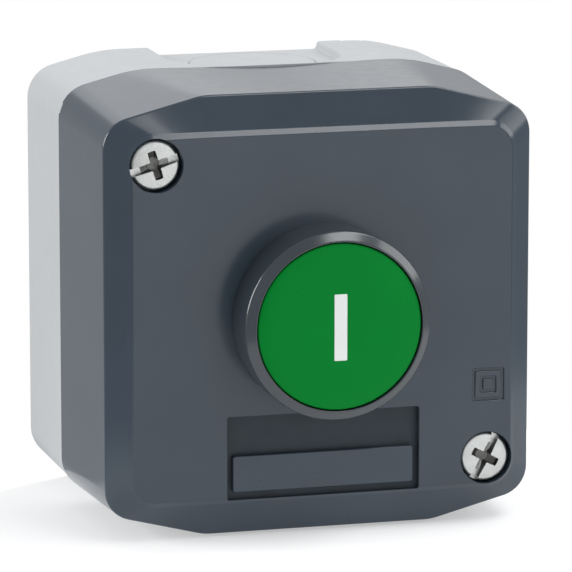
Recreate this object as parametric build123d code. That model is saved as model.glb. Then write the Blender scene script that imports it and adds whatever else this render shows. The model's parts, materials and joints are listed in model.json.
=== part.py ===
from build123d import *
import math
import os

# A surface-mounted push button: a two-part moulded enclosure, a 22 mm flush operator on its
# lid and one normally open contact block on its base. Millimetres. X runs to the right, Z up
# and +Y into the wall. The origin is the centre of the back face, which lies on the wall.
# Every "depth" below is a distance in front of the wall, so a point at depth d has Y = -d.

# Enclosure outline
SEAM_HALF = 34.0          # half width and half height of the lid at the seam
EDGE_HALF_W = 33.4        # half width of the lid at its front edge
EDGE_HALF_H = 33.7        # half height of the lid at its front edge
FLANK_ANGLE = 14.5        # degrees, slope of the flanks beside the flat top and bottom
SEAM_KINK = 22.0          # half width of the flat top at the seam
EDGE_KINK = 18.0          # half width of the flat top at the lid's front edge
SEAM_CORNER_R = 5.5
EDGE_CORNER_R = 4.8
SEAM_DIP = 0.55           # how far the lid's rear edge dips at its middle, over the gland seat
DIP_HALF_W = 20.0
BASE_STEP = 0.15          # the base is this much smaller than the lid all round
BACK_EDGE_R = 0.5

# Enclosure depths
SEAM_DEPTH = 23.0
EDGE_DEPTH = 50.0
BAND_DEPTH = 52.5         # front of the sloping border band
PANEL_DEPTH = 53.0        # front face of the raised panel
PANEL_HALF_W = 30.0
PANEL_HALF_H = 28.3
PANEL_KINK = 17.0
PANEL_CORNER_R = 3.5
PANEL_EDGE_BEVEL = 0.4
WALL = 2.6
REAR_WALL = 2.5
PANEL_INNER_DEPTH = 50.0

# Tongue and groove with its gasket
TONGUE_INSET = 1.25
TONGUE_DEPTH = 25.4
GROOVE_INSET = 1.1
GROOVE_DEPTH = 27.0

# Lid screws: upper left and lower right
SCREW_X = 25.9
SCREW_Z = 23.8
HEAD_R = 3.85
HEAD_TOP_DEPTH = 52.4
HEAD_EDGE_R = 0.6
HEAD_SEAT_DEPTH = 50.0
COUNTERBORE_R = 4.2
COUNTERBORE_DEPTH = 49.4
SCREW_R = 2.0
SCREW_TIP_DEPTH = 12.0
SLOT_W = 1.2
SLOT_H = 1.1
CROSS_W = 1.15
CROSS_L = 4.2
CROSS_H = 1.7
PILLAR_R = 5.6
PILLAR_HOLE_R = 2.3
INSERT_R = 2.9
INSERT_BORE_R = 2.05
INSERT_DEPTH = 11.0
BOSS_TOP_DEPTH = 22.6
PILLAR_END_DEPTH = 22.8
WASHER_DEPTH = 23.0

# A small opening notch in the rim on the lid's left side
RIM_NOTCH_X = -33.25
RIM_NOTCH_Z = (27.6, 29.2)
RIM_NOTCH_DEPTH = 23.9

# Gland seats, top and bottom
GLAND_R = 13.8
GLAND_AXIS_DEPTH = 11.5
GLAND_SEAT_SINK = 1.3
KNOCKOUT_R = 10.2
KNOCKOUT_GROOVE = 0.4

# A small step moulded into the base's top edge at the wall
STEP_X = (17.5, 21.5)
STEP_H = 0.9
STEP_DEPTH = 1.0

# Wall fixing, upper right and lower left
FIXING_X = 20.0
FIXING_Z = 27.0
FIXING_HOLE_R = 2.25
FIXING_HEAD_R = 4.2
FIXING_BOSS_R = 5.2
FIXING_BOSS_DEPTH = 6.0
FIXING_SEAT_DEPTH = 3.2

# Legend recess and symbol on the panel
LEGEND_HALF_W = 15.1
LEGEND_TOP = -15.1
LEGEND_BOTTOM = -28.0
LEGEND_FLOOR_DEPTH = 51.8
PLATE_HALF_W = 14.2
PLATE_TOP = -21.2
PLATE_BOTTOM = -26.8
PLATE_FRONT_DEPTH = 52.8
SYMBOL_X = 26.1
SYMBOL_Z = -12.3
SYMBOL_SIZES = (5.1, 2.6)
SYMBOL_LINE = 0.5
SYMBOL_SINK = 0.3

# Operator: a flush 22 mm head
HEAD_Z = -0.25
HOLE_R = 11.15
BARREL_R = 11.0
KEY_W = 2.9
KEY_R = 12.0
NOTCH_W = 3.2
NOTCH_R = 12.4
BEZEL_R = 14.4
BEZEL_DEPTH = 61.9
BEZEL_BORE_R = 12.95
BEZEL_FLOOR_DEPTH = 54.6
BEZEL_RIM_BEVEL = 0.9
BARREL_BORE_R = 9.3
BARREL_END_DEPTH = 38.0
WEB_FRONT_DEPTH = 45.0
WEB_REAR_DEPTH = 43.0
STEM_R = 4.5
STEM_HOLE_R = 4.58
NUT_R = 14.6
NUT_DEPTH = 45.4
CAP_R = 12.7
CAP_EDGE_DEPTH = 61.5
CAP_CROWN = 0.7
CAP_SKIRT_DEPTH = 59.2
CAP_SKIN = 1.2
MARK_W = 2.0
MARK_H = 10.1
MARK_SINK = 0.6
MARK_PROUD = 0.05
TRAVEL = 4.3
STEM_TIP_DEPTH = 31.2

# Contact block on the base
BLOCK_HALF_W = 7.0
BLOCK_HALF_H = 17.0
BLOCK_REAR_DEPTH = 4.5
BLOCK_FRONT_DEPTH = 22.0
BLOCK_COVER_DEPTH = 24.0
BLOCK_WALL = 1.2
CHAMBER_HALF_H = 10.3
PARTITION = 1.0
PLUNGER_TIP_DEPTH = 30.9
PLUNGER_HALF = 2.3
CONTACT_GAP = 2.65
STRIP_FRONT_DEPTH = 10.95
STRIP_THICK = 0.8
TIP_THICK = 0.6
TIP_R = 1.5
TIP_Z = 7.5
BRIDGE_THICK = 0.8
BRIDGE_HALF_W = 2.0
BRIDGE_HALF_L = 9.0
FRAME_HALF_W = 4.2
WINDOW_HALF_W = 2.7
WINDOW_FRONT_DEPTH = 20.1
TERMINAL_Z = 14.0
TERMINAL_SCREW_R = 1.7
RAIL_Z = 18.2
RAIL_HALF_W = 8.0
RAIL_THICK = 1.2
RAIL_DEPTH = 6.5
REST_Z = 9.0
REST_HALF_W = 6.0

# Terminal hardware
CLAMP_DEPTHS = (12.6, 13.4)
TERMINAL_HEAD_R = 2.6
TERMINAL_HEAD_DEPTHS = (13.5, 16.0)
TERMINAL_TIP_DEPTH = 7.0

# Seals, washers and the retaining clip
RING_R = 3.6
SEAL_BORE_R = 2.2
WASHER_BORE_R = 2.1
WASHER_THICK = 1.2
WASHER_POCKET_R = 3.7
CLIP_R = 6.4
CLIP_THICK = 1.05
STEM_GROOVE = 0.7
STEM_SEAL_R = 5.7
STEM_SEAL_H = 2.2
BEZEL_GASKET_H = 0.9

TAN = math.tan(math.radians(FLANK_ANGLE))


def slab(sketch, rear, front):
    """A prism of a sketch drawn in the wall's plane, between two depths."""
    return extrude(Plane.XZ.offset(rear) * sketch, amount=front - rear)


def disc(radius, rear, front, x=0.0, z=0.0):
    return slab(Pos(x, z) * Circle(radius), rear, front)


def tube(outer, inner, rear, front, x=0.0, z=0.0):
    return slab(Pos(x, z) * (Circle(outer) - Circle(inner)), rear, front)


def block(half_w, half_h, rear, front, x=0.0, z=0.0):
    return slab(Pos(x, z) * Rectangle(2 * half_w, 2 * half_h), rear, front)


def bar(x0, x1, z0, z1, rear, front):
    """A box between two X, two Z and two depths."""
    return slab(Pos((x0 + x1) / 2, (z0 + z1) / 2) * Rectangle(x1 - x0, z1 - z0), rear, front)


def coil(radius, wire_r, turns, rear, front, z=0.0):
    """A helical compression spring along Y, centred on the operator's or the block's axis."""
    length = front - rear - 2 * wire_r
    path = Helix(pitch=length / turns, height=length, radius=radius)
    section = Plane(origin=path @ 0, z_dir=path % 0) * Circle(wire_r)
    spring = sweep(section, path=path, is_frenet=True)
    return Pos(0, -rear - wire_r, z) * Rot(90, 0, 0) * spring


def outline(half_w, half_h, kink, corner_r, inset=0.0, dip=0.0, tangent=TAN):
    """The enclosure's section: flat top and bottom, sloping flanks, rounded shoulders."""
    w, h = half_w - inset, half_h - inset
    k = kink - inset * math.tan(math.atan(tangent) / 2)
    shoulder = h - (w - k) * tangent
    edges = Line((w, shoulder), (w, -shoulder)) + Line((-w, -shoulder), (-w, shoulder))
    for side in (1, -1):
        edges += Line((-w, side * shoulder), (-k, side * h))
        edges += Line((k, side * h), (w, side * shoulder))
        if dip:
            low = [(-DIP_HALF_W, 0), (-DIP_HALF_W / 2, 0.75 * dip), (0, dip)]
            low += [(DIP_HALF_W / 2, 0.75 * dip), (DIP_HALF_W, 0)]
            points = [(-k, side * h)] + [(x, side * (h - d)) for x, d in low] + [(k, side * h)]
            edges += Spline(*points, tangents=[(1, 0), (1, 0)])
        else:
            edges += Line((-k, side * h), (k, side * h))
    face = make_face(edges)
    shoulders = [v for v in face.vertices() if abs(v.X) > w - 0.01]
    return fillet(shoulders, max(corner_r - inset, 1.0))


def seam_outline(inset=0.0, dip=0.0):
    return outline(SEAM_HALF, SEAM_HALF, SEAM_KINK, SEAM_CORNER_R, inset, dip)


def edge_outline(inset=0.0):
    return outline(EDGE_HALF_W, EDGE_HALF_H, EDGE_KINK, EDGE_CORNER_R, inset)


def panel_outline(grow=0.0):
    return outline(PANEL_HALF_W, PANEL_HALF_H, PANEL_KINK, PANEL_CORNER_R, -grow, tangent=0.004)


def between(rear_sketch, rear, front_sketch, front):
    """A ruled solid between two sketches at two depths."""
    faces = [(Plane.XZ.offset(d) * s).faces()[0] for s, d in ((rear_sketch, rear), (front_sketch, front))]
    return Solid.make_loft([f.outer_wire() for f in faces], ruled=True)


SCREWS = {"upper": (-SCREW_X, SCREW_Z, 17.0), "lower": (SCREW_X, -SCREW_Z, 62.0)}
FIXINGS = ((FIXING_X, FIXING_Z), (-FIXING_X, -FIXING_Z))


def gland_seat(side):
    """The space cut from the base's top (side 1) or bottom (side -1) for a cable gland."""
    floor = SEAM_HALF - BASE_STEP - GLAND_SEAT_SINK
    seat = Pos(0, -GLAND_AXIS_DEPTH) * Circle(GLAND_R)
    seat += Pos(0, 1 - GLAND_AXIS_DEPTH / 2) * Rectangle(2 * GLAND_R, GLAND_AXIS_DEPTH + 2)
    seat -= Pos(0, -SEAM_DEPTH - GLAND_R) * Rectangle(4 * GLAND_R, 2 * GLAND_R)
    ring = Pos(0, -GLAND_AXIS_DEPTH) * (Circle(KNOCKOUT_R) - Circle(KNOCKOUT_R - KNOCKOUT_GROOVE))
    cut = extrude(Plane.XY.offset(floor) * seat, amount=5)
    cut += extrude(Plane.XY.offset(floor - KNOCKOUT_GROOVE) * ring, amount=5)
    return cut if side > 0 else mirror(cut, about=Plane.XY)


def base_shell():
    body = slab(seam_outline(BASE_STEP), 0, SEAM_DEPTH)
    body = fillet(body.faces().sort_by(Axis.Y)[-1].edges(), BACK_EDGE_R)
    body += slab(seam_outline(TONGUE_INSET), SEAM_DEPTH, TONGUE_DEPTH)
    body -= slab(seam_outline(WALL), REAR_WALL, TONGUE_DEPTH + 1)
    for x, z, _ in SCREWS.values():
        body += disc(PILLAR_R, REAR_WALL, BOSS_TOP_DEPTH, x, z)
        body -= disc(INSERT_R, INSERT_DEPTH - 1, BOSS_TOP_DEPTH + 1, x, z)
    for x, z in FIXINGS:
        body += disc(FIXING_BOSS_R, REAR_WALL, FIXING_BOSS_DEPTH, x, z)
        body -= disc(FIXING_HOLE_R, -1, FIXING_BOSS_DEPTH + 1, x, z)
        body -= disc(FIXING_HEAD_R, FIXING_SEAT_DEPTH, FIXING_BOSS_DEPTH + 1, x, z)
    for side in (1, -1):
        rail = sorted((side * RAIL_Z, side * (RAIL_Z + RAIL_THICK)))
        body += bar(-RAIL_HALF_W, RAIL_HALF_W, *rail, REAR_WALL, RAIL_DEPTH)
        body += block(REST_HALF_W, 1, REAR_WALL, BLOCK_REAR_DEPTH, 0, side * REST_Z)
        body -= gland_seat(side)
    return body - bar(*STEP_X, SEAM_HALF - STEP_H, SEAM_HALF, -1, STEP_DEPTH)


def counterbore(x, z):
    return disc(COUNTERBORE_R, COUNTERBORE_DEPTH, PANEL_DEPTH + 1, x, z)


def symbol():
    """The double-insulation sign: a square within a square, both as shallow grooves."""
    sketch = Sketch()
    for size in SYMBOL_SIZES:
        sketch += Rectangle(size, size) - Rectangle(size - 2 * SYMBOL_LINE, size - 2 * SYMBOL_LINE)
    return slab(Pos(SYMBOL_X, SYMBOL_Z) * sketch, PANEL_DEPTH - SYMBOL_SINK, PANEL_DEPTH + 1)


def lid():
    skirt = between(seam_outline(dip=SEAM_DIP), SEAM_DEPTH, edge_outline(), EDGE_DEPTH)
    band = between(edge_outline(), EDGE_DEPTH, panel_outline(), BAND_DEPTH)
    panel = slab(panel_outline(), BAND_DEPTH, PANEL_DEPTH)
    panel = chamfer(panel.faces().sort_by(Axis.Y)[0].edges(), PANEL_EDGE_BEVEL)
    body = skirt + band + panel
    body -= between(seam_outline(WALL), SEAM_DEPTH, edge_outline(WALL), PANEL_INNER_DEPTH)
    body -= slab(seam_outline(GROOVE_INSET), SEAM_DEPTH, GROOVE_DEPTH)
    inside = between(seam_outline(GROOVE_INSET), SEAM_DEPTH, edge_outline(GROOVE_INSET), EDGE_DEPTH)
    for x, z, _ in SCREWS.values():
        pillar = disc(PILLAR_R - 1, PILLAR_END_DEPTH, GROOVE_DEPTH, x, z)
        pillar += disc(PILLAR_R, GROOVE_DEPTH, PANEL_INNER_DEPTH, x, z) & inside
        body += pillar
        body -= counterbore(x, z)
        body -= disc(PILLAR_HOLE_R, PILLAR_END_DEPTH - 1, PANEL_DEPTH, x, z)
        body -= disc(WASHER_POCKET_R, PILLAR_END_DEPTH - 1, WASHER_DEPTH + WASHER_THICK, x, z)
    body -= disc(HOLE_R, PANEL_INNER_DEPTH - 1, PANEL_DEPTH + 1, 0, HEAD_Z)
    body -= bar(-NOTCH_W / 2, NOTCH_W / 2, HEAD_Z, HEAD_Z + NOTCH_R, PANEL_INNER_DEPTH - 1, PANEL_DEPTH + 1)
    body -= bar(-LEGEND_HALF_W, LEGEND_HALF_W, LEGEND_BOTTOM, LEGEND_TOP, LEGEND_FLOOR_DEPTH, PANEL_DEPTH + 1)
    body -= bar(-SEAM_HALF - 1, RIM_NOTCH_X, *RIM_NOTCH_Z, SEAM_DEPTH - 1, RIM_NOTCH_DEPTH)
    return body - symbol()


def lid_gasket():
    return slab(seam_outline(GROOVE_INSET + 0.05) - seam_outline(WALL - 0.05), TONGUE_DEPTH, GROOVE_DEPTH)


def lid_screw(x, z, angle):
    screw = disc(HEAD_R, HEAD_SEAT_DEPTH, HEAD_TOP_DEPTH, x, z)
    screw = fillet(screw.faces().sort_by(Axis.Y)[0].edges(), HEAD_EDGE_R)
    screw += disc(SCREW_R, SCREW_TIP_DEPTH, HEAD_SEAT_DEPTH, x, z)
    slot = Rectangle(2 * HEAD_R + 1, SLOT_W)
    cross = Rectangle(CROSS_L, CROSS_W) + Rectangle(CROSS_W, CROSS_L)
    screw -= slab(Pos(x, z) * Rot(0, 0, angle) * slot, HEAD_TOP_DEPTH - SLOT_H, HEAD_TOP_DEPTH + 1)
    return screw - slab(Pos(x, z) * Rot(0, 0, angle) * cross, HEAD_TOP_DEPTH - CROSS_H, HEAD_TOP_DEPTH + 1)


def screw_set():
    """The two lid screws with the thread inserts, sealing rings and retaining washers."""
    nodes = {}
    for name, (x, z, angle) in SCREWS.items():
        nodes["lid_screw_" + name] = lid_screw(x, z, angle)
        insert = tube(INSERT_R, INSERT_BORE_R, INSERT_DEPTH, BOSS_TOP_DEPTH - 0.2, x, z)
        nodes["thread_insert_" + name] = insert
        seal = tube(RING_R, SEAL_BORE_R, COUNTERBORE_DEPTH, HEAD_SEAT_DEPTH - 0.05, x, z)
        nodes["screw_seal_" + name] = seal
        washer = tube(RING_R, WASHER_BORE_R, WASHER_DEPTH, WASHER_DEPTH + WASHER_THICK, x, z)
        nodes["retaining_washer_" + name] = washer
    return nodes


def legend_plate():
    plate = bar(-PLATE_HALF_W, PLATE_HALF_W, PLATE_BOTTOM, PLATE_TOP, LEGEND_FLOOR_DEPTH, PLATE_FRONT_DEPTH)
    return fillet(plate.faces().sort_by(Axis.Y)[0].edges(), 0.2)


def operator_body():
    """Bezel, keyed barrel and the web that guides the pusher."""
    body = disc(BEZEL_R, PANEL_DEPTH, BEZEL_DEPTH)
    body = chamfer(body.faces().sort_by(Axis.Y)[0].edges(), BEZEL_RIM_BEVEL)
    body += disc(BARREL_R, BARREL_END_DEPTH, PANEL_DEPTH)
    body += bar(-KEY_W / 2, KEY_W / 2, 0, KEY_R, PANEL_INNER_DEPTH + 0.2, PANEL_DEPTH)
    body -= disc(BEZEL_BORE_R, BEZEL_FLOOR_DEPTH, BEZEL_DEPTH + 1)
    body -= disc(BARREL_BORE_R, WEB_FRONT_DEPTH, BEZEL_DEPTH)
    body -= disc(BARREL_BORE_R, BARREL_END_DEPTH - 1, WEB_REAR_DEPTH)
    body -= disc(STEM_HOLE_R, BARREL_END_DEPTH, BEZEL_DEPTH)
    body -= tube(BEZEL_R - 1.0, KEY_R + 0.1, PANEL_DEPTH - 1, PANEL_DEPTH + BEZEL_GASKET_H)
    return Pos(0, 0, HEAD_Z) * body


def bezel_gasket():
    return tube(BEZEL_R - 1.1, KEY_R + 0.2, PANEL_DEPTH, PANEL_DEPTH + BEZEL_GASKET_H, 0, HEAD_Z)


def fixing_nut():
    """Ring nut behind the panel, with eight spanner notches."""
    nut = disc(NUT_R, NUT_DEPTH, PANEL_INNER_DEPTH) - disc(BARREL_R + 0.05, NUT_DEPTH - 1, PANEL_DEPTH)
    nut = chamfer(nut.edges().filter_by(GeomType.CIRCLE).group_by(SortBy.RADIUS)[-1], 0.4)
    for turn in range(8):
        notch = Rot(0, 0, 22.5 + turn * 45) * Pos(NUT_R, 0) * Rectangle(2.4, 3.0)
        nut -= slab(notch, NUT_DEPTH - 1, PANEL_INNER_DEPTH - 1.2)
    return Pos(0, 0, HEAD_Z) * nut


def crown_sphere():
    """The ball whose surface is the cap's slightly domed face."""
    radius = (CAP_R ** 2 + CAP_CROWN ** 2) / (2 * CAP_CROWN)
    return Pos(0, radius - CAP_EDGE_DEPTH - CAP_CROWN, 0) * Sphere(radius)


def button_cap():
    cap = disc(CAP_R, CAP_SKIRT_DEPTH, CAP_EDGE_DEPTH + CAP_CROWN + 1) & crown_sphere()
    cap = fillet(cap.edges().filter_by(GeomType.CIRCLE).sort_by(Axis.Y)[0], 0.45)
    cap -= disc(CAP_R - CAP_SKIN, CAP_SKIRT_DEPTH - 1, CAP_EDGE_DEPTH - CAP_SKIN)
    cap -= block(MARK_W / 2, MARK_H / 2, CAP_EDGE_DEPTH + CAP_CROWN - MARK_SINK - 0.1, CAP_EDGE_DEPTH + 2)
    return Pos(0, 0, HEAD_Z) * cap


def button_mark():
    front = CAP_EDGE_DEPTH + CAP_CROWN + MARK_PROUD
    mark = block(MARK_W / 2, MARK_H / 2, CAP_EDGE_DEPTH + CAP_CROWN - MARK_SINK - 0.1, front + 1)
    return Pos(0, 0, HEAD_Z) * (mark & (Pos(0, -MARK_PROUD, 0) * crown_sphere()))


def pusher():
    head = disc(CAP_R - CAP_SKIN - 0.1, CAP_EDGE_DEPTH - CAP_SKIN - 1.0, CAP_EDGE_DEPTH - CAP_SKIN)
    stem = disc(STEM_R, STEM_TIP_DEPTH, CAP_EDGE_DEPTH - CAP_SKIN)
    groove = tube(STEM_R + 1, STEM_R - STEM_GROOVE, WEB_REAR_DEPTH - 1.3, WEB_REAR_DEPTH - 0.1)
    return Pos(0, 0, HEAD_Z) * (head + stem - groove)


def pusher_clip():
    """The split ring in the stem's groove, which stops the pusher against the web."""
    front = WEB_REAR_DEPTH - 0.15
    ring = tube(CLIP_R, STEM_R - STEM_GROOVE + 0.05, front - CLIP_THICK, front)
    return Pos(0, 0, HEAD_Z) * (ring - bar(-1.6, 1.6, -8, 0, WEB_REAR_DEPTH - 2, WEB_REAR_DEPTH))


def stem_seal():
    return tube(STEM_SEAL_R, STEM_R + 0.12, WEB_FRONT_DEPTH, WEB_FRONT_DEPTH + STEM_SEAL_H, 0, HEAD_Z)


def return_spring():
    return coil(6.6, 0.4, 6, WEB_FRONT_DEPTH + 0.05, CAP_EDGE_DEPTH - CAP_SKIN - 1.1, HEAD_Z)


def block_housing():
    """The contact block's body: a chamber between two open terminal pockets."""
    inner_w = BLOCK_HALF_W - BLOCK_WALL
    floor = BLOCK_REAR_DEPTH + BLOCK_WALL
    body = block(BLOCK_HALF_W, BLOCK_HALF_H, BLOCK_REAR_DEPTH, BLOCK_FRONT_DEPTH)
    body -= block(inner_w, CHAMBER_HALF_H, floor, BLOCK_FRONT_DEPTH + 1)
    strip_rear = STRIP_FRONT_DEPTH - STRIP_THICK
    for side in (1, -1):
        pocket = sorted((side * (CHAMBER_HALF_H + PARTITION), side * (BLOCK_HALF_H + 1)))
        body -= bar(-inner_w, inner_w, *pocket, strip_rear, BLOCK_FRONT_DEPTH + 1)
        body += bar(-3.2, 3.2, *sorted((side * 5.6, side * CHAMBER_HALF_H)), floor, strip_rear)
        slot = sorted((side * (CHAMBER_HALF_H - 1), side * (BLOCK_HALF_H - 4)))
        body -= bar(-3.1, 3.1, *slot, strip_rear, STRIP_FRONT_DEPTH + 0.1)
        body -= disc(2.0, 6.4, strip_rear + 1, 0, side * TERMINAL_Z)
    hook = bar(-3, 3, BLOCK_HALF_H, RAIL_Z - 0.1, BLOCK_REAR_DEPTH, 8.0)
    hook += bar(-3, 3, BLOCK_HALF_H, RAIL_Z + 2.4, 6.6, 8.0)
    return body + hook


def block_cover():
    cover = block(BLOCK_HALF_W, BLOCK_HALF_H, BLOCK_FRONT_DEPTH, BLOCK_COVER_DEPTH)
    cover = chamfer(cover.faces().sort_by(Axis.Y)[0].edges(), 0.4)
    guide = PLUNGER_HALF + 0.2
    cover -= block(guide, guide, BLOCK_FRONT_DEPTH - 1, BLOCK_COVER_DEPTH + 1)
    for side in (1, -1):
        cover -= disc(3.3, BLOCK_FRONT_DEPTH - 1, BLOCK_COVER_DEPTH + 1, 0, side * TERMINAL_Z)
    return cover


def block_latch():
    """The clip that locks the block's lower end on the base's rail."""
    rail_out = -(RAIL_Z + RAIL_THICK)
    latch = bar(-3, 3, -RAIL_Z + 0.05, -BLOCK_HALF_H - 0.05, 3.2, 7.8)
    latch += bar(-3, 3, rail_out - 1.2, -BLOCK_HALF_H - 0.05, 6.6, 7.8)
    latch += bar(-3, 3, rail_out - 1.2, rail_out - 0.1, 3.2, 7.8)
    return latch + bar(-3, 3, rail_out - 3.0, rail_out - 0.1, 6.6, 7.8)


BRIDGE_REAR_DEPTH = STRIP_FRONT_DEPTH + 2 * TIP_THICK + CONTACT_GAP
WINDOW_REAR_DEPTH = BRIDGE_REAR_DEPTH - 0.1
FRAME_REAR_DEPTH = WINDOW_REAR_DEPTH - 1.5
FRAME_FRONT_DEPTH = WINDOW_FRONT_DEPTH + 1.2


def contact_plunger():
    """The sliding carrier: a square stem in front and a windowed frame around the bridge."""
    carrier = block(PLUNGER_HALF, PLUNGER_HALF, FRAME_FRONT_DEPTH - 0.5, PLUNGER_TIP_DEPTH)
    carrier = chamfer(carrier.faces().sort_by(Axis.Y)[0].edges(), 0.4)
    carrier += block(FRAME_HALF_W, 2.5, FRAME_REAR_DEPTH, FRAME_FRONT_DEPTH)
    carrier -= block(WINDOW_HALF_W, 4, WINDOW_REAR_DEPTH, WINDOW_FRONT_DEPTH)
    return carrier + disc(1.3, FRAME_REAR_DEPTH - 2.6, FRAME_REAR_DEPTH)


def plunger_spring():
    return coil(1.9, 0.2, 4, BLOCK_REAR_DEPTH + BLOCK_WALL + 0.05, FRAME_REAR_DEPTH - 0.05)


def contact_spring():
    return coil(1.7, 0.2, 4, BRIDGE_REAR_DEPTH + BRIDGE_THICK + 0.05, WINDOW_FRONT_DEPTH - 0.05)


def contact_bridge():
    bridge = block(BRIDGE_HALF_W, BRIDGE_HALF_L, BRIDGE_REAR_DEPTH, BRIDGE_REAR_DEPTH + BRIDGE_THICK)
    return fillet(bridge.edges().filter_by(Axis.Y), 1.0)


def tips(rear):
    return Compound([disc(TIP_R, rear, rear + TIP_THICK, 0, z) for z in (-TIP_Z, TIP_Z)])


def fixed_contact(side):
    span = sorted((side * 5.8, side * (BLOCK_HALF_H - 0.2)))
    strip = bar(-3.0, 3.0, *span, STRIP_FRONT_DEPTH - STRIP_THICK, STRIP_FRONT_DEPTH)
    return strip - disc(TERMINAL_SCREW_R + 0.06, 9, 12, 0, side * TERMINAL_Z)


def terminal_clamp(side):
    plate = block(2.9, 2.6, *CLAMP_DEPTHS, 0, side * TERMINAL_Z)
    return plate - disc(TERMINAL_SCREW_R + 0.3, *CLAMP_DEPTHS, 0, side * TERMINAL_Z)


def terminal_screw(side):
    z = side * TERMINAL_Z
    seat, top = TERMINAL_HEAD_DEPTHS
    screw = disc(TERMINAL_HEAD_R, seat, top, 0, z) + disc(TERMINAL_SCREW_R, TERMINAL_TIP_DEPTH, seat, 0, z)
    recess = Rectangle(3.0, 0.8) + Rectangle(0.8, 3.0) + Rectangle(2 * TERMINAL_HEAD_R + 1, 0.7)
    return screw - slab(Pos(0, z) * recess, top - 1.0, top + 1)


def block_set():
    nodes = {"bridge_tips": tips(BRIDGE_REAR_DEPTH - TIP_THICK), "fixed_tips": tips(STRIP_FRONT_DEPTH)}
    for name, side in (("upper", 1), ("lower", -1)):
        nodes["fixed_contact_" + name] = fixed_contact(side)
        nodes["terminal_clamp_" + name] = terminal_clamp(side)
        nodes["terminal_screw_" + name] = terminal_screw(side)
    return nodes


def main():
    singles = (
        base_shell, lid, lid_gasket, legend_plate, operator_body, bezel_gasket, fixing_nut,
        button_cap, button_mark, pusher, pusher_clip, stem_seal, return_spring, block_housing,
        block_cover, block_latch, contact_plunger, plunger_spring, contact_spring, contact_bridge,
    )
    nodes = {make.__name__: make() for make in singles} | screw_set() | block_set()
    os.makedirs("parts", exist_ok=True)
    for name, shape in nodes.items():
        export_step(shape, f"parts/{name}.step")


main()
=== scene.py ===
import json
import math

import bmesh
import bpy
import numpy as np
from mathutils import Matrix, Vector


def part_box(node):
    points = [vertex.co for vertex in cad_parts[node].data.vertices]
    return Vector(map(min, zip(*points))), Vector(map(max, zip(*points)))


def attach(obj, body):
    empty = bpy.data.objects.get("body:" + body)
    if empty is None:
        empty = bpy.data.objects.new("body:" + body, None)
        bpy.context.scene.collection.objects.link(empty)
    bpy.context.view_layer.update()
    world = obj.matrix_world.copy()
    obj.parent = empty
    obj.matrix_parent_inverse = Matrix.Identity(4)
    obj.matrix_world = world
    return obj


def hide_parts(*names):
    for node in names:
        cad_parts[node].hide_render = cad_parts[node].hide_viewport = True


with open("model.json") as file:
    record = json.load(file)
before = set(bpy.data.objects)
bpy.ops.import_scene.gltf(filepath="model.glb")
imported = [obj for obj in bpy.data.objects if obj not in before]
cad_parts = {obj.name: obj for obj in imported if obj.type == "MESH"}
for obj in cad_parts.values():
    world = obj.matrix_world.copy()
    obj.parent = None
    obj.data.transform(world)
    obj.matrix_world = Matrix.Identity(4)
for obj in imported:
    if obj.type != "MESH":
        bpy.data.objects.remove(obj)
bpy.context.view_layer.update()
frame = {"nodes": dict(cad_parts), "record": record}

# The object's own frame: X to the right, Z up, +Y into the wall. Lengths below are in
# millimetres and turn into metres by MM. A "depth" is a distance in front of the wall.
MM = 0.001


def box_mm(node):
    low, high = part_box(node)
    return np.array(low) / MM, np.array(high) / MM


# ---------------------------------------------------------------- sizes from the frame
LID_LOW, LID_HIGH = box_mm("lid")
BASE_LOW, BASE_HIGH = box_mm("base_shell")
BEZEL_LOW, BEZEL_HIGH = box_mm("operator_body")
CAP_LOW, CAP_HIGH = box_mm("button_cap")
MARK_LOW, MARK_HIGH = box_mm("button_mark")
PLATE_LOW, PLATE_HIGH = box_mm("legend_plate")

SEAM_HALF = LID_HIGH[0]
PANEL_DEPTH = -LID_LOW[1]
TONGUE_DEPTH = -BASE_LOW[1]
BASE_HALF = BASE_HIGH[0]
HEAD_X, HEAD_Z = (BEZEL_LOW[0] + BEZEL_HIGH[0]) / 2, (BEZEL_LOW[2] + BEZEL_HIGH[2]) / 2
BEZEL_R = (BEZEL_HIGH[0] - BEZEL_LOW[0]) / 2
BEZEL_DEPTH = -BEZEL_LOW[1]
BARREL_END = -BEZEL_HIGH[1]
CAP_R = (CAP_HIGH[0] - CAP_LOW[0]) / 2
CAP_DEPTH = -CAP_LOW[1]
CAP_SKIRT = -CAP_HIGH[1]

# ---------------------------------------------------------------- shape of the enclosure
TAN_FLANK = math.tan(math.radians(14.5))
SEAM_DEPTH = 23.0
EDGE_DEPTH = 50.0
BAND_DEPTH = 52.3
SEAM_OUTLINE = {"w": SEAM_HALF, "h": SEAM_HALF, "kink": 22.0, "kink_r": 26.0, "corner": 5.5}
EDGE_OUTLINE = {"w": 33.4, "h": 33.7, "kink": 18.0, "kink_r": 9.0, "corner": 4.8}
PANEL_OUTLINE = {"w": 30.5, "h": 28.5, "kink": 17.0, "kink_r": 9.0, "corner": 4.4, "tangent": 0.01}
PANEL_BEVEL = 0.8
WALL = 2.6
REAR_WALL = 2.5
BASE_INSET = SEAM_HALF - BASE_HALF
GROOVE_INSET = 1.1
GROOVE_DEPTH = 27.0
TONGUE_INSET = 1.25
DIP = 0.55
DIP_HALF = 20.0


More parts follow.
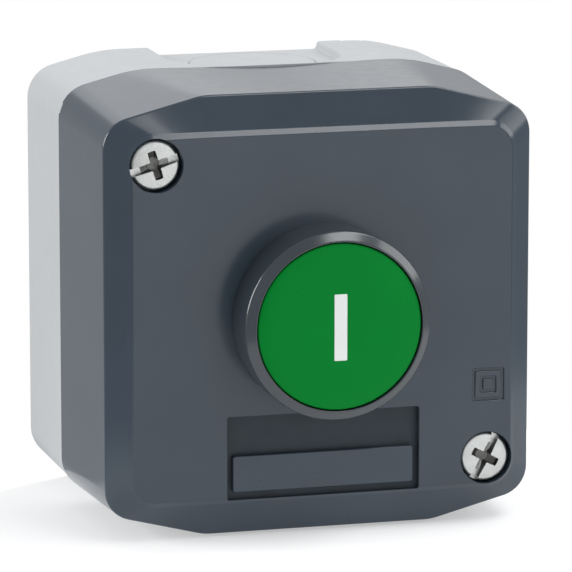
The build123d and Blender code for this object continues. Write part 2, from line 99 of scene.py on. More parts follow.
# ---------------------------------------------------------------- rings and solids
def outline(w, h, kink, kink_r, corner, tangent=TAN_FLANK, inset=0.0, dip=0.0):
    """The enclosure's section as a closed ring of (x, z): flat top, flanks, round shoulders."""
    angle = math.atan(tangent)
    w, h, k, r = w - inset, h - inset, kink - inset * math.tan(angle / 2), max(corner - inset, 1.0)
    cut_k = kink_r * math.tan(angle / 2)
    cut_c = r * math.tan((math.pi / 2 - angle) / 2)
    shoulder = h - (w - k) * tangent
    flat = [(x, h) for x in np.linspace(0, k - cut_k, 13)[:-1]]
    turns = np.linspace(0, angle, 7)
    bend = [(k - cut_k + kink_r * math.sin(a), h - kink_r * (1 - math.cos(a))) for a in turns]
    flank_end = np.array((w - cut_c * math.cos(angle), shoulder + cut_c * math.sin(angle)))
    flank = [tuple(p) for p in np.linspace(bend[-1], flank_end, 5)[1:-1]]
    centre = flank_end - r * np.array((math.sin(angle), math.cos(angle)))
    turns = np.linspace(angle, math.pi / 2, 15)
    arc = [(centre[0] + r * math.sin(a), centre[1] + r * math.cos(a)) for a in turns]
    side = [(w, z) for z in np.linspace(arc[-1][1], 0, 7)[1:]]
    quarter = np.array(flat + bend + flank + arc + side)
    fall = 0.5 * (1 + np.cos(np.pi * np.clip(quarter[:, 0] / DIP_HALF, -1, 1)))
    quarter[:, 1] -= dip * fall * (quarter[:, 1] > h - 0.01)
    right = np.concatenate([quarter, (quarter * (1, -1))[::-1][1:]])
    return np.concatenate([right, (right * (-1, 1))[::-1][1:-1]])


def circle(radius, x=0.0, z=0.0, count=128):
    turn = np.linspace(0, 2 * math.pi, count, endpoint=False)
    return np.stack([x + radius * np.sin(turn), z + radius * np.cos(turn)], axis=1)


def rounded_rect(half_w, half_h, radius, x=0.0, z=0.0, steps=6):
    """A rectangle with round corners, as a closed ring."""
    corners = []
    for k, (sx, sz) in enumerate(((1, 1), (1, -1), (-1, -1), (-1, 1))):
        for a in np.linspace(0, math.pi / 2, steps + 1) + k * math.pi / 2:
            corner_x, corner_z = sx * (half_w - radius), sz * (half_h - radius)
            corners.append((x + corner_x + radius * math.sin(a), z + corner_z + radius * math.cos(a)))
    return np.array(corners)


def lift(points, depth):
    """A flat ring placed at a depth in front of the wall, in metres."""
    return np.stack([points[:, 0], np.full(len(points), -depth), points[:, 1]], axis=1) * MM


def rounded(keys, steps=5):
    """Rings through key rings of (ring, edge radius); an edge with a radius becomes a curve."""
    rings = []
    for i, (ring, radius) in enumerate(keys):
        if not radius:
            rings.append(ring)
            continue
        ends = []
        for other in (keys[i - 1][0], keys[(i + 1) % len(keys)][0]):
            step = other - ring
            length = np.linalg.norm(step, axis=1, keepdims=True)
            ends.append(ring + step * np.minimum(radius * MM / np.maximum(length, 1e-9), 0.45))
        for t in np.linspace(0, 1, steps + 1):
            rings.append(ends[0] * (1 - t) ** 2 + ring * 2 * t * (1 - t) + ends[1] * t ** 2)
    return rings


def skin(name, rings, closed=False):
    """A closed mesh over rings of equal length: capped at both ends, or joined end to end."""
    count = len(rings[0])
    spans = len(rings) if closed else len(rings) - 1
    faces = []
    for i in range(spans):
        a, b = i * count, (i + 1) % len(rings) * count
        faces += [(a + j, a + (j + 1) % count, b + (j + 1) % count, b + j) for j in range(count)]
    if not closed:
        faces.append(tuple(range(count)))
        faces.append(tuple(range((len(rings) - 1) * count, len(rings) * count)))
    mesh = bpy.data.meshes.new(name)
    mesh.from_pydata(np.concatenate(rings).tolist(), [], faces)
    piece = bpy.data.objects.new(name, mesh)
    bpy.context.scene.collection.objects.link(piece)
    face_outward(piece)
    return piece


def face_outward(piece):
    work = bmesh.new()
    work.from_mesh(piece.data)
    bmesh.ops.recalc_face_normals(work, faces=work.faces)
    work.to_mesh(piece.data)
    work.free()


def combine(piece, others, operation="DIFFERENCE"):
    """Cuts the other solids from a piece, or joins them to it, and removes them."""
    for other in others:
        modifier = piece.modifiers.new("combine", "BOOLEAN")
        modifier.object = other
        modifier.operation = operation
        modifier.solver = "EXACT"
        graph = bpy.context.evaluated_depsgraph_get()
        mesh = bpy.data.meshes.new_from_object(piece.evaluated_get(graph))
        piece.modifiers.clear()
        piece.data = mesh
        bpy.data.objects.remove(other)
    return piece


def smooth(piece, angle=32):
    """Soft shading with crisp edges, and large flat faces that stay flat."""
    mesh = piece.data
    mesh.polygons.foreach_set("use_smooth", [True] * len(mesh.polygons))
    mesh.set_sharp_from_angle(angle=math.radians(angle))
    weighted = piece.modifiers.new("weighted", "WEIGHTED_NORMAL")
    weighted.keep_sharp = True
    weighted.weight = 100
    return piece


def lathe(name, profile, x=HEAD_X, z=HEAD_Z, count=160, closed=True):
    """A turned solid about a Y axis. profile is (radius, depth, edge radius), all round."""
    keys = [(lift(circle(r, x, z, count), d), edge) for r, d, edge in profile]
    return skin(name, rounded(keys), closed)


def cutter(shape, rear, face, edge=0.15, above=1.0):
    """A solid that cuts a pocket from a face and rounds the pocket's rim."""
    rings = [lift(shape(0.0), rear)]
    for a in np.radians((0, 22, 45, 67, 84)):
        rings.append(lift(shape(edge * (1 - math.cos(a))), face - edge + edge * math.sin(a)))
    rings.append(lift(shape(edge), face + above))
    return skin("cutter", rings)


def groove_cutter(outer, inner, rear, face, edge=0.08):
    """A ring-shaped cutter: a groove between two outlines with rounded rims."""
    rings = [lift(inner(0.0), rear), lift(outer(0.0), rear)]
    turn = np.radians((0, 30, 60, 84))
    rings += [lift(outer(edge * (1 - math.cos(a))), face - edge + edge * math.sin(a)) for a in turn]
    rings += [lift(outer(edge), face + 1), lift(inner(-edge), face + 1)]
    rings += [lift(inner(-edge * (1 - math.cos(a))), face - edge + edge * math.sin(a)) for a in turn[::-1]]
    return skin("cutter", rings, closed=True)


def post(radius, rear, front, x, z, count=64):
    return skin("post", [lift(circle(radius, x, z, count), d) for d in (rear, front)])


def brick(name, x, depth, z):
    """A box from ranges of x, depth and z."""
    plan = np.array([(x[0], z[0]), (x[1], z[0]), (x[1], z[1]), (x[0], z[1])])
    return skin(name, [lift(plan, d) for d in depth])


def finish_piece(piece, name, body, slot, node, angle=32):
    piece.name = name
    piece.data.name = name
    smooth(piece, angle)
    piece.data.materials.clear()
    piece.data.materials.append(MATERIALS[slot])
    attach(piece, body)
    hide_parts(node)
    return piece


# ---------------------------------------------------------------- materials
def shader(name, **values):
    """A Principled material with constant values on its own sockets; returns tree and shader."""
    material = bpy.data.materials.new(name)
    material.use_nodes = True
    tree = material.node_tree
    principled = tree.nodes["Principled BSDF"]
    for socket, value in values.items():
        principled.inputs[socket.replace("_", " ")].default_value = value
    return material, tree, principled


def noise(tree, scale, detail=2.0, roughness=0.5):
    coords = tree.nodes.new("ShaderNodeTexCoord")
    texture = tree.nodes.new("ShaderNodeTexNoise")
    texture.inputs["Scale"].default_value = scale
    texture.inputs["Detail"].default_value = detail
    texture.inputs["Roughness"].default_value = roughness
    tree.links.new(coords.outputs["Object"], texture.inputs["Vector"])
    return texture.outputs["Fac"]


def spread(tree, factor, low, high):
    """Maps a 0.3 to 0.7 noise onto a range."""
    node = tree.nodes.new("ShaderNodeMapRange")
    node.inputs["From Min"].default_value = 0.3
    node.inputs["From Max"].default_value = 0.7
    node.inputs["To Min"].default_value = low
    node.inputs["To Max"].default_value = high
    tree.links.new(factor, node.inputs["Value"])
    return node.outputs["Result"]


def blend_colours(tree, factor, first, second):
    node = tree.nodes.new("ShaderNodeMix")
    node.data_type = "RGBA"
    node.inputs["A"].default_value = (*first, 1)
    node.inputs["B"].default_value = (*second, 1)
    tree.links.new(factor, node.inputs["Factor"])
    return node.outputs["Result"]


def bump(tree, principled, layers):
    """Adds bump layers of (height, distance in metres), one on top of the other."""
    normal = None
    for height, distance in layers:
        node = tree.nodes.new("ShaderNodeBump")
        node.inputs["Strength"].default_value = 1.0
        node.inputs["Distance"].default_value = distance
        tree.links.new(height, node.inputs["Height"])
        if normal:
            tree.links.new(normal, node.inputs["Normal"])
        normal = node.outputs["Normal"]
    tree.links.new(normal, principled.inputs["Normal"])


def plastic(name, colour, roughness, grain=2.0e-6, grain_scale=5200, drift=0.06, wave=1.2e-5, **values):
    """Moulded plastic: fine spark-eroded grain, faint flow waves and slight colour drift."""
    material, tree, principled = shader(name, **values)
    light = tuple(min(c * (1 + drift), 1) for c in colour)
    dark = tuple(c * (1 - drift) for c in colour)
    flow = noise(tree, 90, 3)
    fine = noise(tree, grain_scale, 2)
    tint = blend_colours(tree, spread(tree, flow, 0, 1), dark, light)
    tree.links.new(tint, principled.inputs["Base Color"])
    haze = noise(tree, 420, 4, 0.6)
    tree.links.new(spread(tree, haze, roughness * 0.9, roughness * 1.12), principled.inputs["Roughness"])
    bump(tree, principled, ((noise(tree, 55, 1), wave), (fine, grain)))
    return material


def metal(name, colour, roughness, tarnish=0.12, pits=2.5e-6, **values):
    """Plated or drawn metal with clouded tarnish and small pits."""
    material, tree, principled = shader(name, Metallic=1.0, **values)
    dull = tuple(c * (1 - tarnish) for c in colour)
    cloud = noise(tree, 700, 4, 0.6)
    tint = blend_colours(tree, spread(tree, cloud, 0, 1), dull, colour)
    tree.links.new(tint, principled.inputs["Base Color"])
    haze = spread(tree, noise(tree, 2600, 3), roughness * 0.75, roughness * 1.35)
    tree.links.new(haze, principled.inputs["Roughness"])
    bump(tree, principled, ((noise(tree, 1500, 3), pits),))
    return material


def rubber(name, colour, roughness=0.7):
    """Black rubber with a grey bloom."""
    material, tree, principled = shader(name, IOR=1.45)
    bloom = tuple(c * 1.8 for c in colour)
    tint = blend_colours(tree, spread(tree, noise(tree, 300, 4), 0, 1), colour, bloom)
    tree.links.new(tint, principled.inputs["Base Color"])
    haze = spread(tree, noise(tree, 900, 2), roughness * 0.85, roughness * 1.1)
    tree.links.new(haze, principled.inputs["Roughness"])
    bump(tree, principled, ((noise(tree, 3000, 2), 4e-6),))
    return material


MATERIALS = {
    "base_grey": plastic("base_grey", (0.44, 0.455, 0.465), 0.46, drift=0.015, IOR=1.5),
    "lid_grey": plastic("lid_grey", (0.031, 0.046, 0.064), 0.19, IOR=1.5),
    # painted shade: the legend recess floor gets a darker colour than the lid, standing in for the bezel's
    # shadow there
    "lid_recess_painted_shade": plastic("lid_recess_painted_shade", (0.017, 0.027, 0.037), 0.5, IOR=1.4),
    "legend_grey": plastic("legend_grey", (0.031, 0.047, 0.066), 0.3, IOR=1.5),
    "bezel_grey": plastic("bezel_grey", (0.028, 0.037, 0.046), 0.2, grain=0.8e-6, IOR=1.6),
    "cap_green": plastic("cap_green", (0.0, 0.16, 0.016), 0.3, grain=0.8e-6, drift=0.03, IOR=1.5,
                         Specular_Tint=(0.1, 1.0, 0.3, 1)),
    "mark_white": plastic("mark_white", (0.76, 0.79, 0.77), 0.3, grain=0.8e-6, drift=0.01, IOR=1.5),
    "nylon_natural": plastic("nylon_natural", (0.76, 0.74, 0.68), 0.42),
    "nut_plastic": plastic("nut_plastic", (0.02, 0.021, 0.022), 0.4),
    "block_black": plastic("block_black", (0.025, 0.026, 0.028), 0.42),
    "latch_grey": plastic("latch_grey", (0.30, 0.31, 0.32), 0.4),
    "carrier_green": plastic("carrier_green", (0.02, 0.28, 0.08), 0.34),
    "zinc_steel": metal("zinc_steel", (0.56, 0.575, 0.565), 0.34),
    # painted shade: a darker metal for the walls and deep floors of the screws' cross and slot
    "zinc_recess_painted_shade": metal("zinc_recess_painted_shade", (0.17, 0.17, 0.16), 0.4),
    "spring_steel": metal("spring_steel", (0.42, 0.42, 0.41), 0.3),
    "brass": metal("brass", (0.78, 0.58, 0.26), 0.27),
    "silver_alloy": metal("silver_alloy", (0.80, 0.80, 0.77), 0.22),
    "seal_rubber": rubber("seal_rubber", (0.018, 0.018, 0.019)),
}


def dress_cad_nodes():
    """Every node that stays as the frame has it takes its slot's material."""
    for part in frame["record"]["subparts"]:
        node = frame["nodes"][part["node"]]
        node.data.materials.clear()
        node.data.materials.append(MATERIALS[part["material_slot"]])


# ---------------------------------------------------------------- the enclosure
SCREWS = {}
for corner, turn in (("upper", 17.0), ("lower", 62.0)):
    low, high = box_mm("lid_screw_" + corner)
    SCREWS[corner] = ((low[0] + high[0]) / 2, (low[2] + high[2]) / 2, -low[1], turn)
COUNTERBORE_R = 4.1
COUNTERBORE_DEPTH = 49.4
PILLAR_R = 5.6
PILLAR_HOLE_R = 2.3
OPERATOR_HOLE_R = 11.15
SYMBOL_X, SYMBOL_Z = 26.1, -12.3
SYMBOL_HALVES = (2.5, 1.25)
SYMBOL_LINE = 0.4
SYMBOL_SINK = 0.3
LEGEND = {"half_w": 15.1, "top": -15.1, "bottom": -28.0, "floor": 51.8}
RIM_NOTCH = {"x": (-36.0, -33.25), "depth": (22.0, 23.9), "z": (27.6, 29.2)}


def ring_at(shape, depth, inset=0.0, dip=0.0):
    return lift(outline(**shape, inset=inset, dip=dip), depth)


def lid_rings():
    """From inside the skirt over its rim, the flanks, the border band and the panel's bevel."""
    skirt = [
        (ring_at(EDGE_OUTLINE, EDGE_DEPTH, WALL), 0),
        (ring_at(SEAM_OUTLINE, GROOVE_DEPTH, WALL), 0),
        (ring_at(SEAM_OUTLINE, GROOVE_DEPTH, GROOVE_INSET), 0),
        (ring_at(SEAM_OUTLINE, SEAM_DEPTH, GROOVE_INSET), 0),
        (ring_at(SEAM_OUTLINE, SEAM_DEPTH, 0, DIP), 0.25),
        (ring_at(EDGE_OUTLINE, EDGE_DEPTH), 0.3),
    ]
    bevel = [
        (ring_at(PANEL_OUTLINE, BAND_DEPTH), 0.12),
        (ring_at(PANEL_OUTLINE, PANEL_DEPTH, PANEL_BEVEL), 0.22),
        (ring_at(PANEL_OUTLINE, PANEL_DEPTH, PANEL_BEVEL + 1.0), 0),
    ]
    return rounded(skirt + bevel)


def symbol_cutter(half):
    """One square groove of the double-insulation sign."""
    def outer(grow):
        return rounded_rect(half + grow, half + grow, 0.3 + max(grow, 0), SYMBOL_X, SYMBOL_Z, 3)

    def inner(grow):
        side = half - SYMBOL_LINE + grow
        return rounded_rect(side, side, 0.15, SYMBOL_X, SYMBOL_Z, 3)

    return groove_cutter(outer, inner, PANEL_DEPTH - SYMBOL_SINK, PANEL_DEPTH, 0.22)


def legend_cutter():
    mid_z = (LEGEND["top"] + LEGEND["bottom"]) / 2
    half_h = (LEGEND["top"] - LEGEND["bottom"]) / 2

    def shape(grow):
        return rounded_rect(LEGEND["half_w"] + grow, half_h + grow, 0.35 + grow, 0, mid_z)

    return cutter(shape, LEGEND["floor"], PANEL_DEPTH, 0.16)


def on_legend_floor(point):
    x, depth, z = point.x / MM, -point.y / MM, point.z / MM
    level = abs(depth - LEGEND["floor"]) < 0.05
    return level and abs(x) < LEGEND["half_w"] and LEGEND["bottom"] < z < LEGEND["top"]


def build_lid():
    lid = skin("lid_shell", lid_rings())
    pillars = [post(PILLAR_R, GROOVE_DEPTH + 0.5, EDGE_DEPTH + 1, x, z) for x, z, _, _ in SCREWS.values()]
    lid = combine(lid, pillars, "UNION")
    cuts = []
    for x, z, _, _ in SCREWS.values():
        bore = (lambda grow, x=x, z=z: circle(COUNTERBORE_R + grow, x, z, 96))
        cuts.append(cutter(bore, COUNTERBORE_DEPTH, PANEL_DEPTH, 0.12))
        cuts.append(post(PILLAR_HOLE_R, GROOVE_DEPTH - 1, PANEL_DEPTH, x, z))
    cuts.append(post(OPERATOR_HOLE_R, EDGE_DEPTH - 5, PANEL_DEPTH + 1, HEAD_X, HEAD_Z, 96))
    cuts.append(legend_cutter())
    cuts += [symbol_cutter(half) for half in SYMBOL_HALVES]
    cuts.append(brick("cutter", **RIM_NOTCH))
    lid = finish_piece(combine(lid, cuts), "lid_shell", "enclosure", "lid_grey", "lid")
    # the legend recess floor takes the darker plastic: painted shade
    lid.data.materials.append(MATERIALS["lid_recess_painted_shade"])
    for face in lid.data.polygons:
        if on_legend_floor(face.center):
            face.material_index = 1


GLAND_R = 13.8
GLAND_AXIS_DEPTH = 11.5
GLAND_SINK = 1.3
GLAND_SEAT = BASE_HALF - GLAND_SINK
GLAND_RIM = (  # height above the seat, and how far the outline has grown there
    (0, -0.5), (0.12, -0.22), (0.35, -0.05), (0.6, 0), (0.8, 0.04),
    (1.05, 0.16), (1.22, 0.38), (GLAND_SINK, 0.7), (2.5, 1.0),
)
KNOCKOUT_R = 10.2
KNOCKOUT_GROOVE = ((-0.25, -0.15), (-0.1, -0.15), (0.1, 0.2), (-0.45, 0.2))  # radius step, height
FIXINGS = ((20.0, 27.0), (-20.0, -27.0))
FIXING_BOSS_R = 5.2
FIXING_BOSS_DEPTH = 6.0
FIXING_HOLE_R = 2.25
FIXING_HEAD_R = 4.2
FIXING_SEAT = 3.2
BOSS_TOP = 22.6
INSERT_R = 2.9
RAIL_Z = 18.2
RAIL_THICK = 1.2
RAIL_HALF_W = 8.0
RAIL_DEPTH = 6.5
REST_Z = 9.0
REST_HALF_W = 6.0
BLOCK_REAR = 4.5
STEP_X = (17.5, 21.5)


def gland_outline(grow):
    """U shape seen from above, as (x, depth): round in front, straight to the wall."""
    radius = GLAND_R + grow
    turns = np.linspace(-math.pi / 2, math.pi / 2, 41)
    bow = [(radius * math.sin(a), GLAND_AXIS_DEPTH + radius * math.cos(a)) for a in turns]
    return np.array([(-radius, -1.0)] + bow + [(radius, -1.0)])


def gland_cutter(side):
    """The sunken gland seat on the base's top or bottom, with a soft rim."""
    rings = []
    for height, grow in GLAND_RIM:
        plan = gland_outline(grow)
        z = side * (GLAND_SEAT + height)
        depth = np.minimum(plan[:, 1], SEAM_DEPTH - 0.01)
        rings.append(np.stack([plan[:, 0], -depth, np.full(len(plan), z)], axis=1) * MM)
    return skin("cutter", rings)


def knockout_cutter(side):
    """The thin groove round the knock-out disc in the gland seat."""
    rings = []
    for step, height in KNOCKOUT_GROOVE:
        plan = circle(KNOCKOUT_R + step, 0, GLAND_AXIS_DEPTH, 96)
        z = np.full(len(plan), side * (GLAND_SEAT + height))
        rings.append(np.stack([plan[:, 0], -plan[:, 1], z], axis=1) * MM)
    return skin("cutter", rings, closed=True)


def build_base():
    base = skin("base_body", rounded([
        (ring_at(SEAM_OUTLINE, REAR_WALL, WALL), 0),
        (ring_at(SEAM_OUTLINE, TONGUE_DEPTH, WALL), 0.1),
        (ring_at(SEAM_OUTLINE, TONGUE_DEPTH, TONGUE_INSET), 0.1),
        (ring_at(SEAM_OUTLINE, SEAM_DEPTH, TONGUE_INSET), 0),
        (ring_at(SEAM_OUTLINE, SEAM_DEPTH, BASE_INSET), 0.15),
        (ring_at(SEAM_OUTLINE, 0, BASE_INSET), 0.5),
        (ring_at(SEAM_OUTLINE, 0, BASE_INSET + 2), 0),
    ]))
    inner = REAR_WALL - 1.5  # the parts below start inside the rear wall, so that they fuse with it
    posts = [post(PILLAR_R, inner, BOSS_TOP, x, z) for x, z, _, _ in SCREWS.values()]
    posts += [post(FIXING_BOSS_R, inner, FIXING_BOSS_DEPTH, x, z) for x, z in FIXINGS]
    for side in (1, -1):
        rail_z = sorted((side * RAIL_Z, side * (RAIL_Z + RAIL_THICK)))
        posts.append(brick("rail", (-RAIL_HALF_W, RAIL_HALF_W), (inner, RAIL_DEPTH), rail_z))
    for z in (-REST_Z, REST_Z):
        posts.append(brick("rest", (-REST_HALF_W, REST_HALF_W), (inner, BLOCK_REAR), (z - 0.5, z + 0.5)))
    base = combine(base, posts, "UNION")
    cuts = [post(INSERT_R, 10.0, TONGUE_DEPTH - 1.4, x, z) for x, z, _, _ in SCREWS.values()]
    for x, z in FIXINGS:
        cuts.append(post(FIXING_HOLE_R, -1, FIXING_BOSS_DEPTH + 1, x, z))
        cuts.append(post(FIXING_HEAD_R, FIXING_SEAT, FIXING_BOSS_DEPTH + 1, x, z))
    cuts += [gland_cutter(side) for side in (1, -1)] + [knockout_cutter(side) for side in (1, -1)]
    cuts.append(brick("cutter", STEP_X, (-1.0, 1.0), (SEAM_HALF - 1.3, SEAM_HALF + 1)))
    finish_piece(combine(base, cuts), "base_body", "enclosure", "base_grey", "base_shell")


# ---------------------------------------------------------------- the operator
BARREL_R = 11.0
BARREL_BORE_R = 9.3
BEZEL_BORE_R = CAP_R + 0.15
BEZEL_FLOOR = 54.6
RIM_FALL = 1.15
CROWN = 0.7
CAP_SKIN = 1.2
MARK_CORNER_R = 0.12
MARK_SINK = 0.6
MARK_PROUD = 0.03


def build_bezel():
    bezel = lathe("bezel_and_barrel", (
        (BARREL_R, BARREL_END, 0.2),
        (BARREL_R, PANEL_DEPTH, 0),
        (BEZEL_R, PANEL_DEPTH, 0.12),
        (BEZEL_R, BEZEL_DEPTH - RIM_FALL, 0.3),
        (BEZEL_BORE_R + 0.15, BEZEL_DEPTH, 0.25),
        (BEZEL_BORE_R, BEZEL_DEPTH - 0.1, 0.05),
        (BEZEL_BORE_R, BEZEL_FLOOR, 0.2),
        (BARREL_BORE_R, BEZEL_FLOOR, 0.2),
        (BARREL_BORE_R, BARREL_END, 0.2),
    ))
    finish_piece(bezel, "bezel_and_barrel", "enclosure", "bezel_grey", "operator_body")


def crown_depth(radius):
    """The depth of the cap's face at a distance from its axis: flat, then falling to the edge."""
    return CAP_DEPTH - CROWN * (0.45 * (radius / CAP_R) ** 2 + 0.35 * (radius / CAP_R) ** 8)


def dome_rings(radii, x=HEAD_X, z=HEAD_Z, count=160):
    return [lift(circle(r, x, z, count), crown_depth(r)) for r in radii]


def build_cap():
    def ring(radius, depth):
        return lift(circle(radius, HEAD_X, HEAD_Z, 160), depth)

    face = dome_rings(np.linspace(CAP_R - 0.6, 0.4, 30))
    inner = CAP_R - CAP_SKIN
    edge = rounded([
        (ring(inner, CAP_DEPTH - 1.9), 0),
        (ring(inner, CAP_SKIRT), 0.1),
        (ring(CAP_R, CAP_SKIRT), 0.15),
        (ring(CAP_R, crown_depth(CAP_R)), 0.35),
        (face[0], 0),
    ])
    cap = skin("cap_dome", edge + face[1:])
    half_w, half_h = (MARK_HIGH[0] - MARK_LOW[0]) / 2, (MARK_HIGH[2] - MARK_LOW[2]) / 2
    hole = rounded_rect(half_w + 0.02, half_h + 0.02, MARK_CORNER_R, HEAD_X, HEAD_Z)
    pocket = skin("cutter", [lift(hole, CAP_DEPTH - MARK_SINK - 0.1), lift(hole, CAP_DEPTH + 1)])
    finish_piece(combine(cap, [pocket]), "cap_dome", "button", "cap_green", "button_cap")
    build_mark(half_w, half_h)


def build_mark(half_w, half_h):
    """The bar set into the cap, bent to the cap's dome."""
    shape = rounded_rect(half_w, half_h, MARK_CORNER_R, HEAD_X, HEAD_Z)
    inner = rounded_rect(half_w - 0.5, half_h - 0.5, 0.05, HEAD_X, HEAD_Z)
    mark = skin("bar_mark", rounded([
        (lift(shape, CAP_DEPTH - MARK_SINK), 0),
        (lift(shape, CAP_DEPTH), 0.05),
        (lift(inner, CAP_DEPTH), 0),
    ]))
    for vertex in mark.data.vertices:
        x, z = vertex.co.x / MM - HEAD_X, vertex.co.z / MM - HEAD_Z
        vertex.co.y += (CAP_DEPTH - crown_depth(math.hypot(x, z)) - MARK_PROUD) * MM
    finish_piece(mark, "bar_mark", "button", "mark_white", "button_mark")


# ---------------------------------------------------------------- screws and legend plate
HEAD_R = 3.85
SEAT_DEPTH = 50.0
SLOT_H = 1.15
ARM_REACH = 2.2
ARM_HALF_W = 0.6
CENTRE_R = 0.95
HEAD_CROWN = 0.3
HEAD_EDGE_R = 0.6
FACE_RADII = (0.15, 0.6, CENTRE_R, 1.0, 1.4, 1.8, ARM_REACH, 2.24, 2.6, 2.95, HEAD_R - HEAD_EDGE_R)
SHANK_R = 1.85
THREAD_R = 2.0
THREAD_PITCH = 0.7
CROSS_DEPTHS = (2.0, 1.25)  # at the centre and at the ends of the arms
LIPS = (  # the arms' lips: distance from the arm's centre line, and share of the recess's depth
    (ARM_HALF_W - 0.05, 1.0), (ARM_HALF_W + 0.02, 0.06), (ARM_HALF_W + 0.08, 0.0),
)


def recess_depth(radius):
    """How deep the cross recess is at a distance from the screw's axis."""
    deep, shallow = CROSS_DEPTHS
    return deep - (deep - shallow) * max(radius - CENTRE_R, 0) / (ARM_REACH - CENTRE_R)


def head_ring(x, z, angle, top, radius, depth):
    """One ring of a screw: its points follow the slot's and the arms' edges, cut to their floors."""
    points = []
    for arm in range(4):
        edges = [(math.asin(min(w / radius, 0.62)), share) for w, share in LIPS]
        floor = [(t, 1.0) for t in np.linspace(-edges[0][0], edges[0][0], 7)[1:-1]]
        rim = [(-t, share) for t, share in edges[::-1]] + floor + edges
        land = [(t, 0.0) for t in np.linspace(edges[-1][0], math.pi / 2 - edges[-1][0], 12)[1:-1]]
        for turn, share in rim + land:
            slot = SLOT_H * share if arm % 2 == 0 else 0.0
            cross = recess_depth(radius) * share if radius <= ARM_REACH else 0.0
            cut = recess_depth(radius) if radius <= CENTRE_R else max(slot, cross)
            heading = math.radians(angle) + arm * math.pi / 2 + turn
            place = (x + radius * math.cos(heading), z + radius * math.sin(heading))
            points.append((place[0] * MM, -min(depth, top - cut) * MM, place[1] * MM))
    return np.array(points)


def turned_across(point, x, z, angle):
    """Distance of a point from the slot's centre line."""
    turn = math.radians(angle)
    return (point.z / MM - z) * math.cos(turn) - (point.x / MM - x) * math.sin(turn)


def in_recess(face, x, z, top, angle):
    """True for the walls and the deep floors of the cross and the slot, which take a darker metal as painted
    shade.
    """
    depth = -face.center.y / MM
    across = math.hypot(face.center.x / MM - x, face.center.z / MM - z)
    if not SEAT_DEPTH + 0.3 < depth < top - 0.15 or across >= HEAD_R - HEAD_EDGE_R - 0.05:
        return False
    along_slot = across > CENTRE_R + 0.05 and abs(turned_across(face.center, x, z, angle)) < ARM_HALF_W
    return abs(face.normal.y) < 0.7 or (depth < top - SLOT_H - 0.08 and not along_slot)


def build_screw(corner):
    """Slot and cross recess head on a plain shank, with the thread as fine turns."""
    x, z, top, angle = SCREWS[corner]
    face = [(r, top - HEAD_CROWN * (r / HEAD_R) ** 2) for r in FACE_RADII]
    edge = [(HEAD_R - HEAD_EDGE_R * (1 - math.sin(a)), face[-1][1] - HEAD_EDGE_R * (1 - math.cos(a)))
            for a in np.radians(np.linspace(0, 90, 7))[1:]]
    shank = [(HEAD_R, SEAT_DEPTH + 0.1), (HEAD_R - 0.1, SEAT_DEPTH), (SHANK_R, SEAT_DEPTH), (SHANK_R, 23.2)]
    thread = [(THREAD_R - 0.18 * (i % 2), 22.7 - THREAD_PITCH / 2 * i) for i in range(30)]
    profile = face + edge + shank + thread + [(0.9, 12.0)]
    screw = skin("screw", [head_ring(x, z, angle, top, r, d) for r, d in profile])
    name, body, node = "cross_slot_screw_" + corner, "cover_screw_" + corner, "lid_screw_" + corner
    finish_piece(screw, name, body, "zinc_steel", node)
    # the recess walls and deep floors take the darker metal: painted shade
    screw.data.materials.append(MATERIALS["zinc_recess_painted_shade"])
    for face in screw.data.polygons:
        if in_recess(face, x, z, top, angle):
            face.material_index = 1


def build_legend_plate():
    half_w, half_h = (PLATE_HIGH[0] - PLATE_LOW[0]) / 2, (PLATE_HIGH[2] - PLATE_LOW[2]) / 2
    mid_z = (PLATE_HIGH[2] + PLATE_LOW[2]) / 2
    front = -PLATE_LOW[1]
    plate = skin("blank_legend", rounded([
        (lift(rounded_rect(half_w, half_h, 0.4, 0, mid_z), -PLATE_HIGH[1]), 0),
        (lift(rounded_rect(half_w, half_h, 0.4, 0, mid_z), front), 0.28),
        (lift(rounded_rect(half_w - 1, half_h - 1, 0.2, 0, mid_z), front), 0),
    ]))
    finish_piece(plate, "blank_legend", "enclosure", "legend_grey", "legend_plate")


# ---------------------------------------------------------------- floor, light and camera
FLOOR_R = 125.0
FLOOR_CENTRE = (30.0, -115.0)


def build_floor():
    """A round white table that glows a little, just under the object and in front of it."""
    plan = circle(FLOOR_R, *FLOOR_CENTRE)
    floor = skin("studio_floor", [
        np.stack([plan[:, 0], plan[:, 1], np.full(len(plan), LID_LOW[2] - drop)], axis=1) * MM
        for drop in (0.5, 0.2)
    ])
    material, tree, principled = shader("floor_paper", Roughness=0.9, Emission_Strength=0.42)
    principled.inputs["Emission Color"].default_value = (1, 1, 1, 1)
    tone = blend_colours(tree, spread(tree, noise(tree, 3, 2), 0, 1), (0.60, 0.60, 0.60), (0.64, 0.64, 0.64))
    tree.links.new(tone, principled.inputs["Base Color"])
    floor.data.materials.append(material)


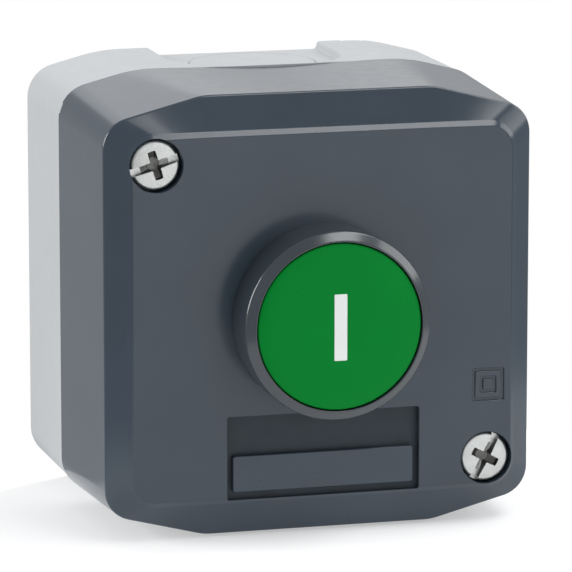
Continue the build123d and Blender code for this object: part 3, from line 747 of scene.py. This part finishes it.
def softbox(name, place, target, width, height, radiance):
    """A rectangular light that shows the given brightness in reflections."""
    light = bpy.data.lights.new(name, "AREA")
    light.shape = "RECTANGLE"
    light.size, light.size_y = width, height
    light.energy = radiance * math.pi * width * height
    lamp = bpy.data.objects.new(name, light)
    lamp.location = place
    lamp.rotation_euler = (Vector(target) - Vector(place)).to_track_quat("-Z", "Y").to_euler()
    lamp.visible_camera = False
    bpy.context.scene.collection.objects.link(lamp)


def build_lights():
    world = bpy.data.worlds.new("studio")
    bpy.context.scene.world = world
    world.use_nodes = True
    tree = world.node_tree
    room = tree.nodes["Background"]
    room.inputs["Color"].default_value = (0.97, 0.98, 1.0, 1)
    room.inputs["Strength"].default_value = 0.5
    paper = tree.nodes.new("ShaderNodeBackground")
    paper.inputs["Color"].default_value = (1, 1, 1, 1)
    seen = tree.nodes.new("ShaderNodeLightPath")
    choose = tree.nodes.new("ShaderNodeMixShader")
    tree.links.new(seen.outputs["Is Camera Ray"], choose.inputs["Fac"])
    tree.links.new(room.outputs["Background"], choose.inputs[1])
    tree.links.new(paper.outputs["Background"], choose.inputs[2])
    tree.links.new(choose.outputs["Shader"], tree.nodes["World Output"].inputs["Surface"])
    softbox("front_box", (0.45, -1.15, 0.12), (0, -0.05, 0), 1.0, 1.0, 0.85)
    softbox("overhead_box", (0.38, -0.25, 0.85), (0.03, -0.03, 0), 0.9, 0.3, 5.2)
    softbox("right_box", (0.95, -0.1, 0.5), (0, -0.05, 0), 0.6, 0.6, 3.0)
    softbox("back_box", (0.35, 0.95, 0.6), (0, -0.03, 0), 1.3, 0.9, 0.65)
    softbox("left_box", (-1.1, 0.25, 0.35), (0, -0.03, 0), 0.6, 0.6, 10.0)


def build_camera():
    """A long lens to the object's left and a little above it."""
    camera = bpy.data.cameras.new("camera")
    camera.sensor_width = 36.0
    camera.lens = 300.9
    camera.clip_start, camera.clip_end = 0.05, 20.0
    eye = bpy.data.objects.new("camera", camera)
    eye.location = (-0.19473, -0.73272, 0.14217)
    aim = Vector((-0.002347, -0.040, 0.002034))
    eye.rotation_euler = (aim - eye.location).to_track_quat("-Z", "Y").to_euler()
    bpy.context.scene.collection.objects.link(eye)
    bpy.context.scene.camera = eye
    bpy.context.scene.view_settings.view_transform = "Standard"


dress_cad_nodes()
build_base()
build_lid()
build_bezel()
build_cap()
build_legend_plate()
for corner in SCREWS:
    build_screw(corner)
build_floor()
build_lights()
build_camera()
